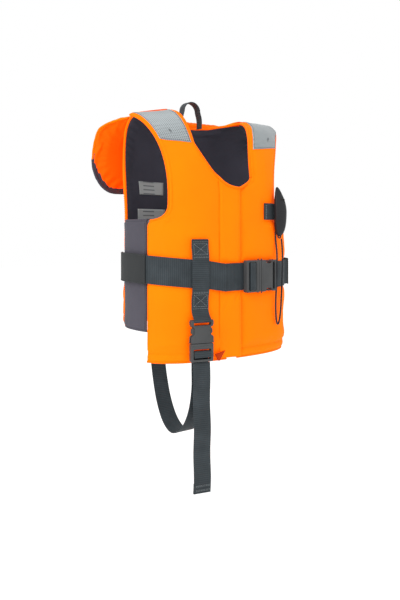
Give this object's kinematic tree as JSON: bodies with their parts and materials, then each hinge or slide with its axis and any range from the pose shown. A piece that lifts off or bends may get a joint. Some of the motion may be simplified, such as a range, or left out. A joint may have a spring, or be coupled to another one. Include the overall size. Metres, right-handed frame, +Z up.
{
  "type": "life jacket",
  "caption": "Child's foam life jacket: front zip under a flap, buckled waist belt and crotch strap, folding padded collar, carry loop and whistle.",
  "frame": {"origin": "under the top of the carry loop, where the jacket hangs from a hook", "axes": "+Z up, front towards -Y, the wearer's left towards +X"},
  "size_m": [0.2834, 0.2264, 0.5709],
  "materials": {
    "orange_cloth": "coated nylon cloth, matte",
    "grey_lining": "plain woven nylon, matte",
    "foam": "closed-cell foam",
    "reflective": "reflective tape with a fine dot grid",
    "webbing": "ribbed polyester webbing",
    "buckle_plastic": "moulded acetal, fine grain",
    "zip_tape": "woven zip tape",
    "zip_plastic": "moulded zip teeth",
    "zip_metal": "cast zip slider",
    "label_cloth": "printed satin label",
    "cord": "braided cord"
  },
  "bodies": {
    "vest": {"front_shell_right": "orange_cloth", "front_shell_left": "orange_cloth", "back_shell": "orange_cloth", "storm_flap": "orange_cloth", "front_lining_right": "grey_lining", "front_lining_left": "grey_lining", "back_lining": "grey_lining", "side_panel_right": "grey_lining", "side_panel_left": "grey_lining", "front_foam_right": "foam", "front_foam_left": "foam", "back_foam": "foam", "reflective_patch_right": "reflective", "reflective_patch_left": "reflective", "belt_front": "webbing", "belt_side": "webbing", "belt_back": "webbing", "belt_sleeve_right": "webbing", "belt_sleeve_left": "webbing", "crotch_front_strap": "webbing", "carry_loop": "webbing", "whistle_tab": "webbing", "belt_buckle_female": "buckle_plastic", "crotch_buckle_female": "buckle_plastic", "zip_tape_right": "zip_tape", "zip_tape_left": "zip_tape", "zip_teeth_right": "zip_plastic", "zip_teeth_left": "zip_plastic", "size_label": "label_cloth", "care_label": "label_cloth", "whistle_lanyard": "cord"},
    "belt_buckle_male": {"belt_buckle_male": "buckle_plastic", "belt_bar_wrap": "webbing"},
    "belt_arm_upper": {"belt_buckle_arm_upper": "buckle_plastic"},
    "belt_arm_lower": {"belt_buckle_arm_lower": "buckle_plastic"},
    "crotch_buckle_male": {"crotch_buckle_male": "buckle_plastic", "crotch_bar_wrap": "webbing", "crotch_strap_loop": "webbing"},
    "crotch_arm_right": {"crotch_buckle_arm_right": "buckle_plastic"},
    "crotch_arm_left": {"crotch_buckle_arm_left": "buckle_plastic"},
    "crotch_tail": {"crotch_strap_tail": "webbing"},
    "zip_slider": {"zip_slider": "zip_metal"},
    "zip_pull": {"zip_pull": "zip_metal"},
    "collar": {"collar_cover": "orange_cloth", "collar_foam": "foam", "collar_underside": "grey_lining"},
    "whistle": {"whistle": "buckle_plastic"}
  },
  "joints": [
    {"name": "belt_buckle_release", "type": "slide", "parent": "vest", "child": "belt_buckle_male", "axis": [-0.9976, -0.0698, 0], "range_m": [0, 0.03]},
    {"name": "belt_arm_upper_squeeze", "type": "hinge", "parent": "belt_buckle_male", "child": "belt_arm_upper", "pos_m": [0.04099, -0.11636, -0.25352], "axis": [0.0698, -0.9976, 0], "range_deg": [-7, 0], "stiffness_Nm_per_rad": 0.05},
    {"name": "belt_arm_lower_squeeze", "type": "hinge", "parent": "belt_buckle_male", "child": "belt_arm_lower", "pos_m": [0.04099, -0.11636, -0.28548], "axis": [0.0698, -0.9976, 0], "range_deg": [0, 7], "stiffness_Nm_per_rad": 0.05},
    {"name": "crotch_buckle_release", "type": "slide", "parent": "vest", "child": "crotch_buckle_male", "axis": [0, 0, -1], "range_m": [0, 0.03]},
    {"name": "crotch_arm_right_squeeze", "type": "hinge", "parent": "crotch_buckle_male", "child": "crotch_arm_right", "pos_m": [-0.07364, -0.1093, -0.3583], "axis": [-0.212, -0.9773, 0], "range_deg": [-7, 0], "stiffness_Nm_per_rad": 0.05},
    {"name": "crotch_arm_left_squeeze", "type": "hinge", "parent": "crotch_buckle_male", "child": "crotch_arm_left", "pos_m": [-0.05078, -0.11426, -0.3583], "axis": [-0.212, -0.9773, 0], "range_deg": [0, 7], "stiffness_Nm_per_rad": 0.05},
    {"name": "tail_swing", "type": "hinge", "parent": "crotch_buckle_male", "child": "crotch_tail", "pos_m": [-0.06357, -0.11803, -0.3873], "axis": [-0.9773, 0.212, 0], "range_deg": [0, 60]},
    {"name": "zip_slide", "type": "slide", "parent": "vest", "child": "zip_slider", "axis": [0, 0, -1], "range_m": [0, 0.215]},
    {"name": "zip_pull_swing", "type": "hinge", "parent": "zip_slider", "child": "zip_pull", "pos_m": [-0.008, -0.1134, -0.1555], "axis": [1, 0, 0], "range_deg": [-3, 0]},
    {"name": "collar_fold", "type": "hinge", "parent": "vest", "child": "collar", "pos_m": [0.004, 0.017, -0.031], "axis": [1, 0, 0], "range_deg": [0, 80]},
    {"name": "whistle_pull", "type": "slide", "parent": "vest", "child": "whistle", "axis": [0.9579, 0.287, 0], "range_m": [0, 0.025]}
  ],
  "couplings": [
    {"joint": "belt_arm_lower_squeeze", "follows": "belt_arm_upper_squeeze", "ratio": -1},
    {"joint": "crotch_arm_left_squeeze", "follows": "crotch_arm_right_squeeze", "ratio": -1}
  ]
}
